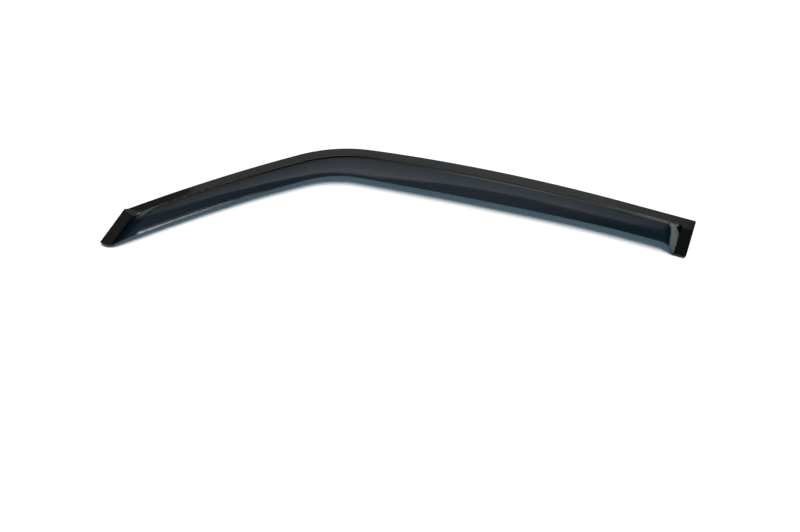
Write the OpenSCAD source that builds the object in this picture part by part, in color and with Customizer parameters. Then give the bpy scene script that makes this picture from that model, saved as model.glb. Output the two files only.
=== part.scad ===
/* [Outer edge, seen from above] */
// Radius of the bend at the crest of the outer edge
bend_r = 248; // [220:2:600]
// Turn of the outer edge from the crest to the front run, in degrees
front_bend = 21; // [10:0.5:25]
// Length of the front run, from the bend to the tip
front_run = 300; // [240:1:400]
// Radius of the front run's slight curve
front_run_r = 2420; // [1500:20:6000]
// Turn of the outer edge from the crest to the rear run, in degrees
rear_bend = 8.5; // [4:0.5:15]
// Length of the rear run, from the bend to the rear end
rear_run = 552; // [420:1:700]
// Radius of the rear run's slight curve
rear_run_r = 2640; // [1800:20:8000]
// Length of the straight at the rear end
rear_straight = 120; // [60:5:200]

/* [Width, from the outer edge to the lip] */
// Width along the front run
front_width = 65; // [58:0.5:76]
// Greatest width, along the rear run
main_width = 77; // [66:0.5:95]
// Width at the rear end wall
rear_width = 69; // [62:0.5:85]
// Length of the rear end flange
rear_flange_length = 75; // [70:0.5:90]
// How much the front run narrows on its way to the tip
tip_taper = 4; // [0:0.5:8]

/* [Section of the sheet] */
// Thickness of the moulded sheet
sheet_t = 2.8; // [2:0.1:3]
// How far the rounded edges stand out at half thickness
edge_round = 0.5; // [0.2:0.1:1]
// Width of the flat mounting flange
flange_w = 15; // [14.5:0.5:20]
// Height of the crease above the flange
crease_h = 7; // [5.5:0.25:10]
// Steepness of the riser, in degrees
riser_angle = 47; // [40:1:49]
// Radius of the hollow at the riser's foot
foot_r = 2; // [1.75:0.25:4]
// Inside radius of the crease
crease_inner_r = 0.6; // [0.6:0.1:1.5]
// Height of the crown over a straight line from the crease to the lip
crown_h = 4; // [2:0.25:6]
// Height of the lip above the flange, along the rear run
lip_h = 14; // [10:0.5:18]
// Height of the lip above the flange, along the front run
front_lip_h = 8.5; // [7:0.5:14]

/* [Rear end] */
// Slant of the rear end, in degrees from square
rear_slant = 6.5; // [0:0.5:8]
// Width of the rear end flange
rear_flange_w = 17; // [15:0.5:22]
// Run of the end wall, from the end flange to the full crown
rear_wall_run = 26; // [23:1:40]
// Length of that run over which the end wall rounds off into the crown
rear_wall_round = 13; // [8:1:14]
// Length of the hollow at the foot of each end wall
wall_hollow = 2.6; // [1:0.2:5]
// Radius of the rear corner on the outer edge
rear_outer_r = 1.5; // [0.5:0.5:3]
// Radius of the rear corner on the lip
rear_lip_r = 3; // [3:0.5:5]

/* [Tip] */
// Slant of the tip, in degrees from square
tip_slant = 47; // [38:1:50]
// Width of the tip pad
pad_w = 19; // [17:0.5:24]
// Height of the tip pad above the flange
pad_lift = 2.5; // [2:0.25:5]
// Run of the wall between the tip pad and the full crown
pad_wall_run = 34; // [25:1:50]
// Length of that run over which the wall rounds off into the crown
pad_wall_round = 18; // [10:1:20]
// Length over which the riser's foot sweeps out across the flange, to the tip
foot_sweep = 41; // [38:1:55]
// Length over which the crease sweeps out to the tip's upper corner
crease_sweep = 33; // [24:1:34]
// Steepness of the riser where it runs out at the tip, in degrees
sweep_angle = 30; // [24:1:36]
// Length of the lip's sweep up to the tip's lower corner
tip_corner_length = 45; // [30:1:60]
// How much that sweep takes off the tip's length
tip_corner_drop = 14.5; // [8:0.5:20]

/* [Tape and release liner] */
// Thickness of the foam tape
tape_t = 1; // [0.8:0.1:1.6]
// Width of the foam tape
tape_w = 12; // [8:0.5:12]
// Distance from the sheet's edge to the tape
tape_inset = 1.5; // [1:0.25:1.5]
// Gap between two lengths of tape
tape_gap = 3; // [1:0.5:8]
// Thickness of the release liner
liner_t = 0.2; // [0.1:0.05:0.4]

/* [Hidden] */

// Lengths of the two halves of the bend, and of the outer edge on both sides of the crest
front_bend_length = bend_r * front_bend * PI / 180;
rear_bend_length = bend_r * rear_bend * PI / 180;
front_length = front_bend_length + front_run;
rear_length = rear_bend_length + rear_run;

// Levels above the face that the liner gives: the tape's two faces and the flange's top
tape_z = liner_t;
sheet_z = tape_z + tape_t;
flange_z = sheet_z + sheet_t;

// The origin lies under the crest, at the middle of the tape's width
outer_y = tape_inset + tape_w / 2;

// Places along the outer edge, from the crest, between which the width and the lip's height change
widen_from = -240;
widen_to = 175;
narrow_from = 235;
lip_fall_from = -330;
lip_fall_to = 0;

// Lengths at each end over which the lines across the sheet keep that end's slant and then lose it
slant_hold = 80;
slant_fade = 150;
taper_length = 90;

// How far the riser's foot bows out on its way to the tip: 1 is straight, less is fuller
sweep_bow = 0.72;

// Steps of the grid that makes the sheet
tip_steps = 11;
tip_crowding = 1.4;
flange_steps = 3;
corner_steps = 4;
hollow_steps = 4;
slope_steps = 4;
round_steps = 8;
run_step = 12.5;
fillet_steps = 3;
crown_steps = 10;
rim_steps = 3;
least_step = 0.5;
tip_tape_steps = 6;

// Width of the top tape where its wedge starts
wedge_w = 2;

crease_r = crease_inner_r + sheet_t;

// Rises smoothly from 0 to 1 while x goes from a to b
function ease(a, b, x) =
    let (q = min(1, max(0, (x - a) / (b - a))))
    q * q * (3 - 2 * q);
function mix(a, b, q) = a + (b - a) * q;
function unit(v) = v / norm(v);

// Turn of the outer edge at a distance s from the crest, s being positive towards the rear
function edge_turn(s) =
    s >= 0
    ? (s < rear_bend_length
        ? s / bend_r * 180 / PI
        : rear_bend + (min(s, rear_length - rear_straight) - rear_bend_length) / rear_run_r * 180 / PI)
    : (s > -front_bend_length
        ? s / bend_r * 180 / PI
        : -front_bend + (s + front_bend_length) / front_run_r * 180 / PI);

// A point of an arc that starts with one turn and ends with another
function arc_step(r, from, to) = r * [sin(to) - sin(from), cos(to) - cos(from)];

function edge_point(s) =
    let (
        turn = edge_turn(s),
        bend = s >= 0 ? min(turn, rear_bend) : max(turn, -front_bend),
        run_r = s >= 0 ? rear_run_r : front_run_r,
        straight = max(0, s - rear_length + rear_straight)
    )
    [0, outer_y] + arc_step(bend_r, 0, bend) + arc_step(run_r, bend, turn)
    + straight * [cos(turn), -sin(turn)];

// Slant of the lines across the sheet, which turn from square to the slant of each end
function slant(s) =
    -tan(tip_slant) * ease(front_length - slant_hold - slant_fade, front_length - slant_hold, -s)
    - tan(rear_slant) * ease(rear_length - slant_hold - slant_fade, rear_length - slant_hold, s);

// Direction of the line across the sheet that starts at s, over one unit of distance from the outer edge
function line_way(s) =
    let (turn = edge_turn(s))
    [-sin(turn), -cos(turn)] + slant(s) * [cos(turn), -sin(turn)];

// The point at a distance v from the outer edge, on the line across the sheet that starts at s
function sheet_point(s, v, z) =
    let (p = edge_point(s) + v * line_way(s))
    [p.x, p.y, z];

// Distances of a line across the sheet from the edges of the tip and of the rear end
function from_tip(s) = (s + front_length) * cos(tip_slant);
function from_rear(s) = (rear_length - s) * cos(rear_slant);
function at_tip(c) = c / cos(tip_slant) - front_length;
function at_rear(c) = rear_length - c / cos(rear_slant);

// Share of the full crown that an end wall has climbed at a distance c from its foot: hollow, slope, round top
function wall_climb(run, top, c) =
    let (slope = 2 / (2 * run - wall_hollow - top))
    c <= 0 ? 0
    : c < wall_hollow ? slope * c * c / (2 * wall_hollow)
    : c < run - top ? slope * (c - wall_hollow / 2)
    : c < run ? 1 - slope * (run - c) * (run - c) / (2 * top)
    : 1;
function tip_climb(s) = wall_climb(pad_wall_run, pad_wall_round, from_tip(s) - pad_w);
function rear_climb(s) = wall_climb(rear_wall_run, rear_wall_round, from_rear(s) - rear_flange_w);

function width(s) =
    mix(front_width, main_width, ease(widen_from, widen_to, s))
    - (main_width - rear_width) * ease(narrow_from, at_rear(rear_flange_w + rear_wall_run), s)
    + (rear_flange_length - rear_width) * (1 - rear_climb(s))
    - tip_taper * ease(front_length - taper_length, front_length, -s);

// How far the corners cut into a line across the sheet: quarter circles at the rear, a parabola at the tip
function round_cut(r, d) = d < r ? r - sqrt(r * r - (r - d) * (r - d)) : 0;
function outer_cut(s) = round_cut(rear_outer_r, rear_length - s);
function lip_cut(s) =
    round_cut(rear_lip_r, rear_length - s)
    + tip_corner_drop * pow(max(0, 1 - (s + front_length) / tip_corner_length), 2);

// Distances of the riser's foot and of the crease from the outer edge, both of which run out at the tip
sweep_foot = pad_lift / tan(sweep_angle);
full_crease = flange_w + crease_h / tan(riser_angle);
function foot_at(s) = mix(-sweep_foot, flange_w, pow(min(1, max(0, s + front_length) / foot_sweep), sweep_bow));
function crease_at(s) = full_crease * min(1, (s + front_length) / crease_sweep);

// Height and steepness of an arc of radius r at a distance d from its lowest or highest point
function arc_rise(r, d) = let (up = sqrt(r * r - d * d)) [r - up, d / up];

// The section of the sheet's outer face, as [distance from the outer edge, height above the flange, steepness]
function section(s) =
    let (
        climb = tip_climb(s),
        foot = foot_at(s),
        crease_v = crease_at(s),
        crease_z = mix(pad_lift, crease_h, climb),
        angle = atan(crease_z / (crease_v - foot)),
        foot_from = foot - foot_r * tan(angle / 2),
        lip_z = mix(pad_lift, mix(front_lip_h, lip_h, ease(lip_fall_from, lip_fall_to, s)), climb),
        bulge = 4 * crown_h * climb,
        span = width(s) - crease_v,
        lean = atan((lip_z - crease_z + bulge) / span),
        crease_tangent = crease_r * tan((angle - lean) / 2),
        centre = [
            crease_v - crease_tangent * cos(angle) + crease_r * sin(angle),
            crease_z - crease_tangent * sin(angle) - crease_r * cos(angle)
        ],
        slope_from = foot_from + foot_r * sin(angle),
        slope_to = centre.x - crease_r * sin(angle),
        crown_from = centre.x - crease_r * sin(lean),
        edge = outer_cut(s),
        marks = [
            edge,
            for (i = [0 : fillet_steps]) foot_from + foot_r * sin(angle * i / fillet_steps),
            for (i = [0 : fillet_steps]) centre.x - crease_r * sin(mix(angle, lean, i / fillet_steps))
        ],
        crown_step = len(marks) - 1,
        places = [
            for (i = [0 : crown_step]) max(marks[i], edge + i * least_step),
            for (i = [1 : crown_steps])
                mix(max(crown_from, edge + crown_step * least_step), width(s) - lip_cut(s), i / crown_steps)
        ]
    )
    [
        for (v = places)
            let (
                q = (v - crease_v) / span,
                rise =
                    v <= foot_from ? [0, 0]
                    : v < slope_from ? arc_rise(foot_r, v - foot_from)
                    : v < slope_to ? [(v - foot) * tan(angle), tan(angle)]
                    : v < crown_from ? [centre.y + crease_r, 0] - arc_rise(crease_r, v - centre.x)
                    : [
                        mix(crease_z, lip_z, q) + bulge * q * (1 - q),
                        (lip_z - crease_z + bulge * (1 - 2 * q)) / span
                    ]
            )
            [v, rise[0], rise[1]]
    ];

// Places of the lines across the sheet, from the tip to the rear end
tip_wall_top = at_tip(pad_w + pad_wall_run);
rear_wall_top = at_rear(rear_flange_w + rear_wall_run);
rear_wall_foot = at_rear(rear_flange_w);
run_steps = ceil((rear_wall_top - tip_wall_top) / run_step);
function wall_places(run, top) = [
    for (i = [0 : hollow_steps - 1]) wall_hollow * i / hollow_steps,
    for (i = [0 : slope_steps - 1]) mix(wall_hollow, run - top, i / slope_steps),
    for (i = [0 : round_steps - 1]) run - top * (1 - i / round_steps)
];
tip_wall_places = wall_places(pad_wall_run, pad_wall_round);
rear_wall_places = wall_places(rear_wall_run, rear_wall_round);
lines = [
    for (i = [0 : tip_steps - 1]) at_tip(pad_w * pow(i / tip_steps, tip_crowding)),
    for (c = tip_wall_places) at_tip(pad_w + c),
    for (i = [0 : run_steps - 1]) mix(tip_wall_top, rear_wall_top, i / run_steps),
    rear_wall_top,
    for (i = [len(rear_wall_places) - 1 : -1 : 1]) at_rear(rear_flange_w + rear_wall_places[i]),
    for (i = [0 : flange_steps - 1]) mix(rear_wall_foot, rear_length - rear_lip_r, i / flange_steps),
    for (i = [0 : corner_steps]) rear_length - rear_lip_r * (1 - sin(90 * i / corner_steps))
];

// The outer face as a grid of points, and its normals from the section's steepness and the neighbouring lines
sections = [for (s = lines) section(s)];
outer_face = [
    for (i = [0 : len(lines) - 1])
        let (rear = rear_climb(lines[i]))
        [for (p = sections[i]) sheet_point(lines[i], p[0], flange_z + p[1] * rear)]
];
last_line = len(outer_face) - 1;
last_point = len(outer_face[0]) - 1;
function normal(i, j) =
    let (
        along = outer_face[min(last_line, i + 1)][j] - outer_face[max(0, i - 1)][j],
        way = line_way(lines[i]),
        across = [way.x, way.y, sections[i][j][2] * rear_climb(lines[i])]
    )
    unit(cross(across, along));
inner_face = [
    for (i = [0 : last_line])
        [for (j = [0 : last_point]) outer_face[i][j] - sheet_t * normal(i, j)]
];

// The rim runs once round the sheet: outer edge, rear end, lip, tip
rim = [
    for (i = [0 : last_line - 1]) [i, 0],
    for (j = [0 : last_point - 1]) [last_line, j],
    for (i = [last_line : -1 : 1]) [i, last_point],
    for (j = [last_point : -1 : 1]) [0, j]
];
rim_count = len(rim);
function rim_point(m, share) =
    let (
        here = rim[m],
        next = rim[(m + 1) % rim_count],
        past = rim[(m + rim_count - 1) % rim_count],
        along = unit(outer_face[next[0]][next[1]] - outer_face[past[0]][past[1]]),
        out = cross(normal(here[0], here[1]), along),
        stand_out = 4 * edge_round * share * (1 - share)
    )
    mix(outer_face[here[0]][here[1]], inner_face[here[0]][here[1]], share) + stand_out * out;

module sheet() {
    row = last_point + 1;
    inner_start = (last_line + 1) * row;
    rim_start = 2 * inner_start;
    function outer_at(i, j) = i * row + j;
    function inner_at(i, j) = inner_start + i * row + j;
    function rim_at(k, m) =
        let (here = rim[m % rim_count])
        k == 0 ? outer_at(here[0], here[1])
        : k == rim_steps ? inner_at(here[0], here[1])
        : rim_start + (k - 1) * rim_count + m % rim_count;

    polyhedron(
        points = [
            for (line = outer_face) each line,
            for (line = inner_face) each line,
            for (k = [1 : rim_steps - 1], m = [0 : rim_count - 1]) rim_point(m, k / rim_steps)
        ],
        faces = [
            for (i = [0 : last_line - 1], j = [0 : last_point - 1])
                each [
                    [outer_at(i, j), outer_at(i, j + 1), outer_at(i + 1, j + 1)],
                    [outer_at(i, j), outer_at(i + 1, j + 1), outer_at(i + 1, j)],
                    [inner_at(i, j), inner_at(i + 1, j + 1), inner_at(i, j + 1)],
                    [inner_at(i, j), inner_at(i + 1, j), inner_at(i + 1, j + 1)]
                ],
            for (k = [0 : rim_steps - 1], m = [0 : rim_count - 1])
                each [
                    [rim_at(k, m), rim_at(k, m + 1), rim_at(k + 1, m + 1)],
                    [rim_at(k, m), rim_at(k + 1, m + 1), rim_at(k + 1, m)]
                ]
        ],
        convexity = 10
    );
}

module visor() {
    color("#22282d") sheet();
}

// Outlines of the three lengths of tape, seen from above: the top one ends in a wedge beside the riser's foot
tape_end = tape_inset;
foot_clear = foot_r * tan(riser_angle / 2);
function tape_edge(s) = min(tape_inset + tape_w, foot_at(s) - foot_clear);
wedge_foot = (tape_inset + wedge_w + foot_clear + sweep_foot) / (flange_w + sweep_foot);
top_tape_from = foot_sweep * pow(wedge_foot, 1 / sweep_bow) - front_length;
top_tape_to = at_rear(tape_end);
tape_steps = ceil((top_tape_to - top_tape_from) / run_step);
function flat(p) = [p.x, p.y];
top_tape_outline = [
    for (i = [0 : tape_steps])
        flat(sheet_point(mix(top_tape_from, top_tape_to, i / tape_steps), tape_inset, 0)),
    for (i = [tape_steps : -1 : 0])
        let (s = mix(top_tape_from, top_tape_to, i / tape_steps))
        flat(sheet_point(s, tape_edge(s), 0))
];
end_tape_from = tape_inset + tape_w + tape_gap;
rear_tape_to = rear_flange_length - rear_lip_r - tape_inset;
rear_tape_outline = [
    for (p = [
        [tape_end, end_tape_from], [tape_end, rear_tape_to],
        [tape_end + tape_w, rear_tape_to], [tape_end + tape_w, end_tape_from]
    ])
        flat(sheet_point(at_rear(p[0]), p[1], 0))
];
tip_tape_lines = [for (i = [0 : tip_tape_steps]) at_tip(mix(tape_end, pad_w - tape_inset, i / tip_tape_steps))];
tip_tape_outline = [
    for (s = tip_tape_lines)
        flat(sheet_point(s, width(s) - lip_cut(s) - tape_inset, 0)),
    for (i = [tip_tape_steps : -1 : 0])
        flat(sheet_point(tip_tape_lines[i], crease_at(tip_tape_lines[i]) + tape_gap, 0))
];

module tape(outline, lift = 0) {
    color("#4a4a48")
        translate([0, 0, tape_z + lift])
            linear_extrude(tape_t)
                polygon(outline);
}

module liner(outline, lift = 0) {
    color("#b3201f")
        translate([0, 0, lift])
            linear_extrude(liner_t)
                polygon(outline);
}

module top_tape() {
    tape(top_tape_outline);
}

module rear_tape() {
    tape(rear_tape_outline);
}

module tip_tape() {
    tape(tip_tape_outline, pad_lift);
}

module top_liner() {
    liner(top_tape_outline);
}

module rear_liner() {
    liner(rear_tape_outline);
}

module tip_liner() {
    liner(tip_tape_outline, pad_lift);
}

visor();
top_tape();
rear_tape();
tip_tape();
top_liner();
rear_liner();
tip_liner();
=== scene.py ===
import math

import bmesh
import bpy
from bpy.props import FloatProperty, IntProperty, PointerProperty, StringProperty
from mathutils import Matrix, Vector


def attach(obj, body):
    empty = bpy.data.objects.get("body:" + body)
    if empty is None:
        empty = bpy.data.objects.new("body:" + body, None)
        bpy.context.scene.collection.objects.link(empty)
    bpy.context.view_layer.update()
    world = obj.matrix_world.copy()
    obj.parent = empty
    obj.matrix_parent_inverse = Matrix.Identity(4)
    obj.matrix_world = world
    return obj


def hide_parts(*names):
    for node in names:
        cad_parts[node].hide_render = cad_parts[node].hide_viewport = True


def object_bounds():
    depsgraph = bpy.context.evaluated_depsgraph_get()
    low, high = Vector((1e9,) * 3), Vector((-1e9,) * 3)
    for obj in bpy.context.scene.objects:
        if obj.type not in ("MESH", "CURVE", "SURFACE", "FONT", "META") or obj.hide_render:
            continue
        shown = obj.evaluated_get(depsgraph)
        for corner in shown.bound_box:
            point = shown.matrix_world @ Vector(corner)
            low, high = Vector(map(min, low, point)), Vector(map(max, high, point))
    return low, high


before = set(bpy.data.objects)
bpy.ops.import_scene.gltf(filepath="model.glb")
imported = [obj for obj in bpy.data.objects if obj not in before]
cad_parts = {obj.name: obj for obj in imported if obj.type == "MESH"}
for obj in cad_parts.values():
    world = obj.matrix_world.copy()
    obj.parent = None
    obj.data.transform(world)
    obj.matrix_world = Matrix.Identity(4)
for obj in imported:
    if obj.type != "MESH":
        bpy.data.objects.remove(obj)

bl_info = {
    "name": "Window rain deflector",
    "version": (1, 0, 0),
    "blender": (4, 5, 0),
    "location": "3D View > Sidebar > Deflector",
    "description": "Dresses a smoked stick-on window deflector and lights it on a white floor",
    "category": "Object",
}

MM = 0.001
HALF_TURN = 180
RIGHT_ANGLE = 90

# The mix nodes' own inputs and output, since each kind of mix has its own pair
NUMBER_A, NUMBER_B = 2, 3
COLOUR_A, COLOUR_B, COLOUR_OUT = 6, 7, 2
SURFACE_A, SURFACE_B = 1, 2

# The height that parts the flat taped flanges from the raised sheet,
# and the slanting line that parts the tip's pad from the rest
FLANGE_TOP = 4.25 * MM
PAD_ACROSS = (1.0, -0.365, 0.0)
PAD_EDGE = -291.5 * MM
CAD_BOX = [list(corner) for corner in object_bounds()]

# The photograph's view, in the part's own frame
CAMERA_PLACE = Vector((105.6, -693.4, 811.0)) * MM
CAMERA_AHEAD = Vector((-0.0138, 0.4998, -0.8660))
CAMERA_RIGHT = Vector((0.9996, 0.0276, 0.0))
SENSOR_WIDTH = 36.0
NEAR_CLIP = 0.01

FLOOR_HALF = 6.0
FLOOR_CORNERS = ((-1, -1), (1, -1), (1, 1), (-1, 1))

# The studio that gloss sees: degrees round from straight behind the object, or degrees up, against a level.
# The levels were set from the brightness of the photograph's gloss, as measured down some columns.
# Upper edges and middles that slant are heights in shares of a right angle. The backdrop fades over its edge.
BACKDROP_ACROSS = [
    (-60, 0.0), (-46, 0.1), (-40, 0.5), (-33, 0.75), (-29, 0.85), (-20, 0.9), (0, 1.05),
    (5, 1.12), (18, 1.12), (22, 1.05), (26, 0.88), (29, 0.8), (30.5, 0.66), (32, 0.4),
    (33.5, 0.22), (36, 0.16), (39, 0.1), (41.5, 0.03), (60, 0.0),
]
BACKDROP_EDGE = [
    (-60, 0.4), (-38, 0.41), (-36, 0.42), (-34, 0.47), (-31, 0.51), (-28, 0.54), (-24, 0.61),
    (-19, 0.67), (-15, 0.705), (-11, 0.7), (-4, 0.64), (1, 0.6), (4, 0.565), (7, 0.53),
    (14, 0.503), (17, 0.487), (21, 0.515), (27, 0.52), (31, 0.49), (60, 0.49),
]
BACKDROP_FADE = (-3.5, 4)
BACKDROP_HEIGHT = [(7, 0.0), (12, 0.35), (20, 0.46), (30, 0.62), (40, 0.8), (46, 0.95), (52, 1.2), (60, 1.2)]
FAR_FLOOR_ACROSS = [
    (-47, 0.0), (-42, 0.6), (-36, 0.5), (-32, 0.02), (-2, 0.02), (4, 0.2), (9, 0.3),
    (18, 0.26), (25, 0.22), (28, 0.75), (30, 0.95), (33, 0.6), (36, 0.4), (39, 0.75),
    (45, 1.3), (62, 1.25), (68, 1.05), (100, 1.05), (140, 0.0),
]
FAR_FLOOR_HEIGHT = [(8, 1.0), (10.5, 0.0)]
CEILING_ACROSS = [
    (-60, 0.25), (-38, 0.24), (-28, 0.22), (-18, 0.25), (0, 0.35), (10, 0.35), (22, 0.3),
    (30, 0.22), (36, 0.08), (120, 0.03), (180, 0.15),
]
CEILING_HEIGHT = [(38, 0.0), (44, 1.0), (62, 1.0), (70, 0.9)]

# The floor's bright far edge, which draws the thin line along the crease
HORIZON_ACROSS = [(2, 0.0), (7, 0.7), (12, 1.2), (17, 1.2), (20, 0.8), (26, 0.75), (30, 0.0)]
HORIZON_MIDDLE = [(0, 0.166), (14, 0.16), (17, 0.15), (20, 0.13), (24, 0.1), (28, 0.03)]
HORIZON_BAND = [(-3, 0.0), (-1.2, 1.0), (1.2, 1.0), (2.8, 0.0)]

# A lamp high over the front end draws the highlight along that end's lip. Its light goes by the degrees from
# overhead, across and along it, and it hangs higher than a share of straight up.
LIP_LAMP_ACROSS = (0.79, -0.62, 0.0)
LIP_LAMP_ALONG = (0.62, 0.79, 0.0)
LIP_LAMP_SIDE = [
    (-20, 0.0), (-18, 0.02), (-14.5, 0.04), (-13.2, 0.07), (-12.2, 0.15), (-11.3, 0.36), (-10.4, 1.0),
    (-8, 1.0), (-6, 0.0), (20, 0.0),
]
LIP_LAMP_LENGTH = [(-26, 0.0), (-20, 1.0), (1.5, 1.0), (4.5, 0.25), (7, 0.0)]
LIP_LAMP_OVER = 0.3

# How far the shading of the taped flange leans, a guess that suits its gloss in the photograph, since the
# flange itself is flat: the sideways share of its upright direction
FLANGE_LEAN = (-0.02, 0.087, 0.0)

# The lean fades in over a stretch past the tip, and beyond the rear start it fades out again
# between two lines down the rear end flange
FRONT_LEVEL = -290 * MM
FRONT_LEANING = -205 * MM
REAR_START = 500 * MM
REAR_ACROSS = (0.295, 0.955, 0.0)
REAR_LEVEL = 16 * MM
REAR_LEANING = 26 * MM

# Edges that turn more than this stay crisp
SHARP_ANGLE = math.radians(28)

# What counts as one vertex, and the bends and skews over which two triangles still join into a quad
MERGE_DISTANCE = 0.002 * MM
QUAD_BEND = math.radians(25)
QUAD_SKEW = math.radians(70)

# The sheet: its refraction, the shader's plain specular level, how much finer the polish varies than the
# waves, the noise over which it varies and how far, and the turn from the eye over which the smoke closes
ACRYLIC_IOR = 1.49
PLAIN_SPECULAR = 0.5
POLISH_SIZE = 0.35
NOISE_LOW = 0.3
NOISE_HIGH = 0.7
POLISH_LEAST = 0.7
POLISH_MOST = 1.5
SMOKE_OPEN = 0.4
SMOKE_CLOSED = 0.9

# The depth of the foam's cells against their width
CELL_DEPTH = 0.3

# The liner film: its refraction and the height of its ripples
FILM_IOR = 1.51
RIPPLE_HEIGHT = 0.1 * MM


def linear(hex_colour):
    """An sRGB hex colour as linear red, green, blue and alpha."""
    shares = [int(hex_colour[i : i + 2], 16) / 255 for i in (1, 3, 5)]
    return tuple(c / 12.92 if c <= 0.04045 else ((c + 0.055) / 1.055) ** 2.4 for c in shares) + (1.0,)


def add_node(tree, kind, settings=None, values=None, links=None):
    """Adds a node, sets its properties and input values, and links its inputs to other nodes' outputs."""
    node = tree.nodes.new(kind)
    for name, value in (settings or {}).items():
        setattr(node, name, value)
    for name, value in (values or {}).items():
        node.inputs[name].default_value = value
    for name, (source, output) in (links or {}).items():
        tree.links.new(source.outputs[output], node.inputs[name])
    return node


def combine(tree, operation, first, second):
    """The product, sum or other combination of two nodes' first outputs."""
    node = add_node(tree, "ShaderNodeMath", {"operation": operation})
    tree.links.new(first.outputs[0], node.inputs[0])
    tree.links.new(second.outputs[0], node.inputs[1])
    return node


def new_material(name):
    """An empty node material and its output node."""
    material = bpy.data.materials.new(name)
    material.use_nodes = True
    material.node_tree.nodes.clear()
    return material, add_node(material.node_tree, "ShaderNodeOutputMaterial")


def leaning(tree, place):
    """The direction in which a taped flange is shaded: leaning a little, but level at both ends."""
    upright = add_node(tree, "ShaderNodeNewGeometry")
    spot = add_node(tree, "ShaderNodeSeparateXYZ", links={"Vector": (place, "Object")})
    ahead = add_node(tree, "ShaderNodeMath", {"operation": "LESS_THAN"}, {1: REAR_START}, {0: (spot, "X")})
    across = add_node(
        tree, "ShaderNodeVectorMath", {"operation": "DOT_PRODUCT"}, {1: REAR_ACROSS}, {0: (place, "Object")},
    )
    upper = add_node(
        tree, "ShaderNodeMapRange", {"interpolation_type": "SMOOTHSTEP"},
        {"From Min": REAR_LEVEL, "From Max": REAR_LEANING}, {"Value": (across, "Value")},
    )
    past_tip = add_node(
        tree, "ShaderNodeMapRange", {"interpolation_type": "SMOOTHSTEP"},
        {"From Min": FRONT_LEVEL, "From Max": FRONT_LEANING}, {"Value": (spot, "X")},
    )
    share = combine(tree, "MINIMUM", combine(tree, "MAXIMUM", ahead, upper), past_tip)
    lean = add_node(
        tree, "ShaderNodeVectorMath", {"operation": "SCALE"}, {0: FLANGE_LEAN}, {"Scale": (share, "Value")},
    )
    both = add_node(
        tree, "ShaderNodeVectorMath", {"operation": "ADD"},
        links={0: (upright, "Normal"), 1: (lean, "Vector")},
    )
    return add_node(tree, "ShaderNodeVectorMath", {"operation": "NORMALIZE"}, links={0: (both, "Vector")})


def smoked_acrylic(look, name, see_through):
    """Smoked acrylic sheet, vacuum formed: deep gloss, a blue-green glow where light comes through its thin
    wall, and the faint waviness that forming leaves in reflections. Over the tapes it looks solid black."""
    material, output = new_material(name)
    tree = material.node_tree
    place = add_node(tree, "ShaderNodeTexCoord")
    waves = add_node(
        tree, "ShaderNodeTexNoise",
        values={"Scale": 1 / look.wave_size, "Detail": 1.0, "Roughness": 0.4},
        links={"Vector": (place, "Object")},
    )
    bump = add_node(
        tree, "ShaderNodeBump",
        values={"Strength": 0.25, "Distance": look.wave_height},
        links={"Height": (waves, "Fac")},
    )
    if not see_through:
        tree.links.new(leaning(tree, place).outputs["Vector"], bump.inputs["Normal"])
    polish = add_node(
        tree, "ShaderNodeTexNoise",
        values={"Scale": 1 / (look.wave_size * POLISH_SIZE), "Detail": 4.0, "Roughness": 0.6},
        links={"Vector": (place, "Object")},
    )
    gloss = add_node(
        tree, "ShaderNodeMapRange",
        values={
            "From Min": NOISE_LOW, "From Max": NOISE_HIGH,
            "To Min": look.gloss * POLISH_LEAST, "To Max": look.gloss * POLISH_MOST,
        },
        links={"Value": (polish, "Fac")},
    )
    skin = add_node(
        tree, "ShaderNodeBsdfPrincipled",
        values={
            "Base Color": linear(look.body_colour),
            "IOR": ACRYLIC_IOR,
            "Specular IOR Level": PLAIN_SPECULAR / look.body_share if see_through else look.taped_shine,
        },
        links={"Roughness": (gloss, "Result"), "Normal": (bump, "Normal")},
    )
    if not see_through:
        tree.links.new(skin.outputs[0], output.inputs["Surface"])
        return material
    facing = add_node(tree, "ShaderNodeLayerWeight", values={"Blend": 0.5})
    depth = add_node(
        tree, "ShaderNodeMapRange",
        values={"From Min": SMOKE_OPEN, "From Max": SMOKE_CLOSED, "To Min": look.body_share, "To Max": 1.0},
        links={"Value": (facing, "Facing")},
    )
    clear = add_node(tree, "ShaderNodeBsdfTransparent", values={"Color": linear(look.tint)})
    mix = add_node(tree, "ShaderNodeMixShader", links={"Fac": (depth, "Result")})
    tree.links.new(clear.outputs[0], mix.inputs[SURFACE_A])
    tree.links.new(skin.outputs[0], mix.inputs[SURFACE_B])
    tree.links.new(mix.outputs[0], output.inputs["Surface"])
    return material


def foam(look):
    """Closed-cell acrylic foam, cut from a roll: matt, charcoal, with fine cells on its cut edges and painted
    shade in each cell's hollow.
    """
    material, output = new_material("acrylic_foam_cut")
    tree = material.node_tree
    place = add_node(tree, "ShaderNodeTexCoord")
    cells = add_node(
        tree, "ShaderNodeTexVoronoi",
        values={"Scale": 1 / look.cell_size},
        links={"Vector": (place, "Object")},
    )
    # Painted shade: the colour darkens towards each cell's middle, where the bump sinks its hollow
    shade = add_node(
        tree, "ShaderNodeMix",
        settings={"data_type": "RGBA"},
        links={"Factor": (cells, "Distance")},
    )
    shade.inputs[COLOUR_A].default_value = linear(look.foam_hollow_shade)
    shade.inputs[COLOUR_B].default_value = linear(look.foam_colour)
    bump = add_node(
        tree, "ShaderNodeBump",
        values={"Strength": 0.5, "Distance": look.cell_size * CELL_DEPTH},
        links={"Height": (cells, "Distance")},
    )
    skin = add_node(
        tree, "ShaderNodeBsdfPrincipled", values={"Roughness": 0.85}, links={"Normal": (bump, "Normal")},
    )
    tree.links.new(shade.outputs[COLOUR_OUT], skin.inputs["Base Color"])
    tree.links.new(skin.outputs[0], output.inputs["Surface"])
    return material


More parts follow.
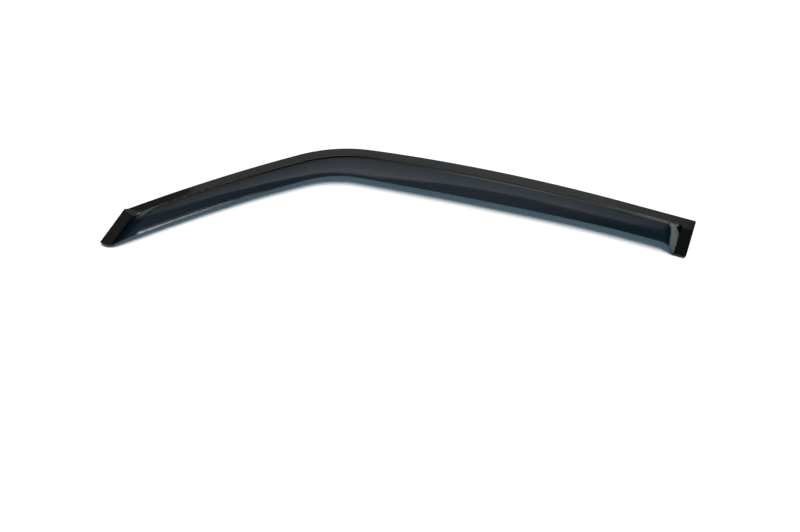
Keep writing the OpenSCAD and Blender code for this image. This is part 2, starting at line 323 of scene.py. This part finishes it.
def liner_film(look):
    """Polyethylene release film, cast: thin, red and satin, with the soft ripple of a peelable film."""
    material, output = new_material("polyethylene_release_film")
    tree = material.node_tree
    place = add_node(tree, "ShaderNodeTexCoord")
    ripple = add_node(
        tree, "ShaderNodeTexNoise",
        values={"Scale": 1 / look.ripple_size, "Detail": 2.0},
        links={"Vector": (place, "Object")},
    )
    bump = add_node(
        tree, "ShaderNodeBump",
        values={"Strength": 0.3, "Distance": RIPPLE_HEIGHT},
        links={"Height": (ripple, "Fac")},
    )
    skin = add_node(
        tree, "ShaderNodeBsdfPrincipled",
        values={"Base Color": linear(look.liner_colour), "Roughness": 0.35, "IOR": FILM_IOR},
        links={"Normal": (bump, "Normal")},
    )
    tree.links.new(skin.outputs[0], output.inputs["Surface"])
    return material


def surface_tree(levels, sheet, taped):
    """Geometry Nodes that refine the moulded sheet: even subdivision, smooth shading and its two finishes."""
    tree = bpy.data.node_groups.new("moulded_sheet_surface", "GeometryNodeTree")
    tree.interface.new_socket("Geometry", in_out="INPUT", socket_type="NodeSocketGeometry")
    depth = tree.interface.new_socket("Refinement", in_out="INPUT", socket_type="NodeSocketInt")
    depth.default_value = levels
    tree.interface.new_socket("Geometry", in_out="OUTPUT", socket_type="NodeSocketGeometry")
    source = add_node(tree, "NodeGroupInput")
    crisp = add_node(
        tree, "FunctionNodeCompare", {"operation": "GREATER_THAN"}, {"B": SHARP_ANGLE},
        {"A": (add_node(tree, "GeometryNodeInputMeshEdgeAngle"), "Unsigned Angle")},
    )
    finer = add_node(
        tree, "GeometryNodeSubdivisionSurface",
        links={
            "Mesh": (source, "Geometry"), "Level": (source, "Refinement"), "Edge Crease": (crisp, "Result"),
        },
    )
    blunt = add_node(
        tree, "FunctionNodeCompare", {"operation": "LESS_THAN"}, {"B": SHARP_ANGLE},
        {"A": (add_node(tree, "GeometryNodeInputMeshEdgeAngle"), "Unsigned Angle")},
    )
    edges = add_node(
        tree, "GeometryNodeSetShadeSmooth", {"domain": "EDGE"},
        links={"Geometry": (finer, "Mesh"), "Shade Smooth": (blunt, "Result")},
    )
    smooth = add_node(tree, "GeometryNodeSetShadeSmooth", links={"Geometry": (edges, "Geometry")})
    whole = add_node(tree, "GeometryNodeRealizeInstances", links={"Geometry": (smooth, "Geometry")})
    clear = add_node(
        tree, "GeometryNodeSetMaterial", values={"Material": sheet}, links={"Geometry": (whole, "Geometry")},
    )
    place = add_node(tree, "GeometryNodeInputPosition")
    spot = add_node(tree, "ShaderNodeSeparateXYZ", links={"Vector": (place, "Position")})
    flat = add_node(
        tree, "FunctionNodeCompare", {"operation": "LESS_THAN"}, {"B": FLANGE_TOP}, {"A": (spot, "Z")},
    )
    across = add_node(
        tree, "ShaderNodeVectorMath", {"operation": "DOT_PRODUCT"}, {1: PAD_ACROSS}, {0: (place, "Position")},
    )
    pad = add_node(
        tree, "FunctionNodeCompare", {"operation": "LESS_THAN"}, {"B": PAD_EDGE}, {"A": (across, "Value")},
    )
    taped_parts = add_node(tree, "FunctionNodeBooleanMath", {"operation": "OR"})
    tree.links.new(flat.outputs["Result"], taped_parts.inputs[0])
    tree.links.new(pad.outputs["Result"], taped_parts.inputs[1])
    dressed = add_node(
        tree, "GeometryNodeSetMaterial", values={"Material": taped},
        links={"Geometry": (clear, "Geometry"), "Selection": (taped_parts, "Boolean")},
    )
    add_node(tree, "NodeGroupOutput", links={"Geometry": (dressed, "Geometry")})
    return tree, depth.identifier


def quad_copy(node, name):
    """A copy of a CAD node's mesh with its loose triangles joined up into a grid of quads."""
    mesh = bpy.data.meshes.new(name)
    grid = bmesh.new()
    grid.from_mesh(node.data)
    bmesh.ops.remove_doubles(grid, verts=grid.verts, dist=MERGE_DISTANCE)
    bmesh.ops.join_triangles(
        grid, faces=grid.faces, angle_face_threshold=QUAD_BEND, angle_shape_threshold=QUAD_SKEW,
    )
    grid.to_mesh(mesh)
    grid.free()
    piece = bpy.data.objects.new(name, mesh)
    bpy.context.scene.collection.objects.link(piece)
    return piece


def bake_modifiers(piece):
    """Turns a piece's modifiers into plain mesh."""
    evaluated = piece.evaluated_get(bpy.context.evaluated_depsgraph_get())
    mesh = bpy.data.meshes.new_from_object(evaluated)
    piece.modifiers.clear()
    piece.data = mesh


class VisorLook(bpy.types.PropertyGroup):
    refinement: IntProperty(
        name="Refinement", description="Subdivision of the moulded sheet", default=1, min=0, max=2,
    )
    body_colour: StringProperty(
        name="Body", description="Colour of the smoked sheet itself", default="#06090B",
    )
    tint: StringProperty(
        name="Tint", description="Colour that light takes on at each face", default="#B2D4E3",
    )
    body_share: FloatProperty(
        name="Depth of smoke", description="Share of the light that one face of the sheet stops",
        default=0.6, min=0.1, max=1.0, subtype="FACTOR",
    )
    gloss: FloatProperty(name="Gloss", description="Roughness of the polish", default=0.05, min=0.0, max=0.5)
    taped_shine: FloatProperty(
        name="Shine over tape", description="Specular level of the sheet over the tapes",
        default=0.42, min=0.0, max=1.0, subtype="FACTOR",
    )
    wave_size: FloatProperty(
        name="Wave size", description="Length of the waves that forming leaves",
        default=0.05, subtype="DISTANCE",
    )
    wave_height: FloatProperty(
        name="Wave height", description="Height of those waves", default=0.0003, subtype="DISTANCE",
    )


class TapeLook(bpy.types.PropertyGroup):
    foam_colour: StringProperty(name="Foam", description="Colour of the foam tape", default="#1E1E1E")
    # The painted shade in the hollows of the foam's cells, darker than the foam itself
    foam_hollow_shade: StringProperty(
        name="Foam cells", description="Colour inside the foam's cells", default="#121212",
    )
    cell_size: FloatProperty(
        name="Cell", description="Width of a foam cell", default=0.0004, subtype="DISTANCE",
    )
    liner_colour: StringProperty(name="Liner", description="Colour of the release liner", default="#B3201F")
    ripple_size: FloatProperty(
        name="Ripple", description="Length of the ripples in the liner", default=0.012, subtype="DISTANCE",
    )


class StageLook(bpy.types.PropertyGroup):
    floor_colour: StringProperty(name="Floor", description="Colour of the floor", default="#FCFCFC")
    lens: FloatProperty(
        name="Lens", description="Focal length on a 36 mm sensor", default=27.0, unit="CAMERA",
    )
    ambient: FloatProperty(name="Ambient", description="Strength of the light from all round", default=0.06)
    key_strength: FloatProperty(
        name="Key light", description="Strength of the light above and behind", default=3.6,
    )
    key_lean: FloatProperty(
        name="Key lean", description="Angle of the key light back from overhead",
        default=math.radians(9), subtype="ANGLE",
    )
    key_turn: FloatProperty(
        name="Key turn", description="Angle of the key light from overhead towards the right",
        default=math.radians(13), subtype="ANGLE",
    )
    key_spread: FloatProperty(
        name="Key spread", description="Width of the key light as the object sees it",
        default=math.radians(42), subtype="ANGLE",
    )
    lip_level: FloatProperty(
        name="Lip light", description="Brightness of the lamp high over the front end, as gloss sees it",
        default=20.0,
    )


class DEFLECTOR_OT_visor(bpy.types.Operator):
    """Builds the smooth moulded sheet from the CAD solid and gives it its smoked acrylic"""

    bl_idname = "deflector.visor"
    bl_label = "Visor"

    def execute(self, context):
        look = context.scene.visor_look
        sheet_finish = smoked_acrylic(look, "smoked_acrylic_vacuum_formed", True)
        taped_finish = smoked_acrylic(look, "smoked_acrylic_over_tape", False)
        sheet = quad_copy(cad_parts["visor"], "visor_sheet")
        tree, refinement = surface_tree(look.refinement, sheet_finish, taped_finish)
        surface = sheet.modifiers.new("surface", "NODES")
        surface.node_group = tree
        surface[refinement] = look.refinement
        bake_modifiers(sheet)
        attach(sheet, "root")
        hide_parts("visor")
        return {"FINISHED"}


class DEFLECTOR_OT_tapes(bpy.types.Operator):
    """Gives the foam tapes and their release liners their materials"""

    bl_idname = "deflector.tapes"
    bl_label = "Tapes and liners"

    def execute(self, context):
        look = context.scene.tape_look
        finishes = {"tape": foam(look), "liner": liner_film(look)}
        for name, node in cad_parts.items():
            kind = name.split("_")[-1]
            if kind in finishes:
                node.data.materials.clear()
                node.data.materials.append(finishes[kind])
        return {"FINISHED"}


def floor_material(look):
    """Painted board, sprayed matt white."""
    material, output = new_material("painted_board_matt")
    tree = material.node_tree
    paint = add_node(tree, "ShaderNodeBsdfDiffuse", values={"Color": linear(look.floor_colour)})
    tree.links.new(paint.outputs[0], output.inputs["Surface"])
    return material


def add_floor(look):
    """A wide plain floor under the object."""
    level = CAD_BOX[0][2]
    corners = [(across * FLOOR_HALF, away * FLOOR_HALF, level) for across, away in FLOOR_CORNERS]
    mesh = bpy.data.meshes.new("floor")
    mesh.from_pydata(corners, [], [(0, 1, 2, 3)])
    floor = bpy.data.objects.new("floor", mesh)
    mesh.materials.append(floor_material(look))
    bpy.context.scene.collection.objects.link(floor)


def add_key_light(look):
    """A broad even light from above and behind the object, as a large softbox gives."""
    lamp = bpy.data.lights.new("key", "SUN")
    lamp.energy = look.key_strength
    lamp.angle = look.key_spread
    holder = bpy.data.objects.new("key", lamp)
    holder.rotation_euler = (-look.key_lean, look.key_turn, 0.0)
    holder.visible_glossy = False
    bpy.context.scene.collection.objects.link(holder)


def add_ramp(tree, angle, limit, steps):
    """Levels against an angle: steps holds pairs of degrees, from -limit to limit, and the level there."""
    share = add_node(
        tree, "ShaderNodeMapRange",
        values={"From Min": math.radians(-limit), "From Max": math.radians(limit)},
        links={"Value": (angle, "Value")},
    )
    ramp = add_node(tree, "ShaderNodeValToRGB", links={"Fac": (share, "Result")})
    stops = ramp.color_ramp.elements
    while len(stops) < len(steps):
        stops.new(0.5)
    for stop, (degrees, level) in zip(stops, steps):
        stop.position = (degrees / limit + 1) / 2
        stop.color = (level, level, level, 1.0)
    return ramp


def above(tree, turn, rise, line):
    """The angle of a direction above a slanting line, whose height goes by the turn."""
    height = add_node(tree, "ShaderNodeMath", {"operation": "MULTIPLY"}, {1: math.radians(RIGHT_ANGLE)})
    tree.links.new(add_ramp(tree, turn, HALF_TURN, line).outputs["Color"], height.inputs[0])
    return combine(tree, "SUBTRACT", rise, height)


def offset(tree, place, way):
    """The angle of a direction away from overhead, along a level way."""
    share = add_node(
        tree, "ShaderNodeVectorMath", {"operation": "DOT_PRODUCT"}, {1: way}, {0: (place, "Generated")},
    )
    angle = add_node(tree, "ShaderNodeMath", {"operation": "ARCSINE"})
    tree.links.new(share.outputs["Value"], angle.inputs[0])
    return angle


def add_world(look):
    """White for the camera and faint even light for surfaces. Gloss sees a studio: a bright backdrop with a
    slanting upper edge behind the object, the pale floor's far end, a dim ceiling and a lamp under it."""
    world = bpy.data.worlds.new("studio")
    bpy.context.scene.world = world
    world.use_nodes = True
    tree = world.node_tree
    tree.nodes.clear()
    place = add_node(tree, "ShaderNodeTexCoord")
    parts = add_node(tree, "ShaderNodeSeparateXYZ", links={"Vector": (place, "Generated")})
    turn = add_node(tree, "ShaderNodeMath", {"operation": "ARCTAN2"})
    tree.links.new(parts.outputs["X"], turn.inputs[0])
    tree.links.new(parts.outputs["Y"], turn.inputs[1])
    rise = add_node(tree, "ShaderNodeMath", {"operation": "ARCSINE"})
    tree.links.new(parts.outputs["Z"], rise.inputs[0])
    fade = add_node(
        tree, "ShaderNodeMapRange", {"interpolation_type": "SMOOTHSTEP"},
        {
            "From Min": math.radians(BACKDROP_FADE[0]), "From Max": math.radians(BACKDROP_FADE[1]),
            "To Min": 1.0, "To Max": 0.0,
        },
        {"Value": (above(tree, turn, rise, BACKDROP_EDGE), "Value")},
    )
    across = combine(tree, "MULTIPLY", add_ramp(tree, turn, HALF_TURN, BACKDROP_ACROSS), fade)
    gloss = combine(tree, "MULTIPLY", across, add_ramp(tree, rise, RIGHT_ANGLE, BACKDROP_HEIGHT))
    over_horizon = above(tree, turn, rise, HORIZON_MIDDLE)
    for around, angle, upwards in (
        (FAR_FLOOR_ACROSS, rise, FAR_FLOOR_HEIGHT),
        (CEILING_ACROSS, rise, CEILING_HEIGHT),
        (HORIZON_ACROSS, over_horizon, HORIZON_BAND),
    ):
        part = combine(
            tree, "MULTIPLY",
            add_ramp(tree, turn, HALF_TURN, around), add_ramp(tree, angle, RIGHT_ANGLE, upwards),
        )
        gloss = combine(tree, "MAXIMUM", gloss, part)
    lamp = combine(
        tree, "MULTIPLY",
        add_ramp(tree, offset(tree, place, LIP_LAMP_ACROSS), RIGHT_ANGLE, LIP_LAMP_SIDE),
        add_ramp(tree, offset(tree, place, LIP_LAMP_ALONG), RIGHT_ANGLE, LIP_LAMP_LENGTH),
    )
    aloft = add_node(
        tree, "ShaderNodeMath", {"operation": "GREATER_THAN"}, {1: LIP_LAMP_OVER}, {0: (parts, "Z")},
    )
    shine = add_node(tree, "ShaderNodeMath", {"operation": "MULTIPLY"}, {1: look.lip_level})
    tree.links.new(combine(tree, "MULTIPLY", lamp, aloft).outputs[0], shine.inputs[0])
    gloss = combine(tree, "MAXIMUM", gloss, shine)
    ray = add_node(tree, "ShaderNodeLightPath")
    lit = add_node(tree, "ShaderNodeMix", {"data_type": "FLOAT"}, links={"Factor": (ray, "Is Glossy Ray")})
    lit.inputs[NUMBER_A].default_value = look.ambient
    tree.links.new(gloss.outputs[0], lit.inputs[NUMBER_B])
    seen = add_node(tree, "ShaderNodeMix", {"data_type": "FLOAT"}, links={"Factor": (ray, "Is Camera Ray")})
    tree.links.new(lit.outputs[0], seen.inputs[NUMBER_A])
    seen.inputs[NUMBER_B].default_value = 1.0
    back = add_node(tree, "ShaderNodeBackground", values={"Color": (1, 1, 1, 1)})
    tree.links.new(seen.outputs[0], back.inputs["Strength"])
    output = add_node(tree, "ShaderNodeOutputWorld")
    tree.links.new(back.outputs[0], output.inputs["Surface"])


def add_camera(look):
    """The photograph's camera, with its lens, place and turn."""
    lens = bpy.data.cameras.new("camera")
    lens.lens = look.lens
    lens.sensor_width = SENSOR_WIDTH
    lens.clip_start = NEAR_CLIP
    holder = bpy.data.objects.new("camera", lens)
    ahead = CAMERA_AHEAD.normalized()
    right = CAMERA_RIGHT.normalized()
    up = right.cross(ahead).normalized()
    turn = Matrix((right, up, -ahead)).transposed()
    holder.matrix_world = Matrix.Translation(CAMERA_PLACE) @ turn.to_4x4()
    bpy.context.scene.collection.objects.link(holder)
    bpy.context.scene.camera = holder


class DEFLECTOR_OT_stage(bpy.types.Operator):
    """Adds the white floor, the key light, the studio that gloss sees and the photograph's camera"""

    bl_idname = "deflector.stage"
    bl_label = "Stage"

    def execute(self, context):
        look = context.scene.stage_look
        add_floor(look)
        add_world(look)
        add_key_light(look)
        add_camera(look)
        context.scene.view_settings.view_transform = "Standard"
        return {"FINISHED"}


class DEFLECTOR_PT_panel(bpy.types.Panel):
    bl_label = "Window rain deflector"
    bl_space_type = "VIEW_3D"
    bl_region_type = "UI"
    bl_category = "Deflector"

    def draw(self, context):
        for look, operator in (
            ("visor_look", DEFLECTOR_OT_visor),
            ("tape_look", DEFLECTOR_OT_tapes),
            ("stage_look", DEFLECTOR_OT_stage),
        ):
            settings = getattr(context.scene, look)
            box = self.layout.box()
            box.operator(operator.bl_idname)
            for name in settings.__annotations__:
                box.prop(settings, name)


CLASSES = (
    VisorLook, TapeLook, StageLook,
    DEFLECTOR_OT_visor, DEFLECTOR_OT_tapes, DEFLECTOR_OT_stage, DEFLECTOR_PT_panel,
)


def register():
    for kind in CLASSES:
        bpy.utils.register_class(kind)
    bpy.types.Scene.visor_look = PointerProperty(type=VisorLook)
    bpy.types.Scene.tape_look = PointerProperty(type=TapeLook)
    bpy.types.Scene.stage_look = PointerProperty(type=StageLook)


def unregister():
    del bpy.types.Scene.stage_look
    del bpy.types.Scene.tape_look
    del bpy.types.Scene.visor_look
    for kind in reversed(CLASSES):
        bpy.utils.unregister_class(kind)


def main():
    register()
    bpy.ops.deflector.visor()
    bpy.ops.deflector.tapes()
    bpy.ops.deflector.stage()


if __name__ == "__main__":
    main()
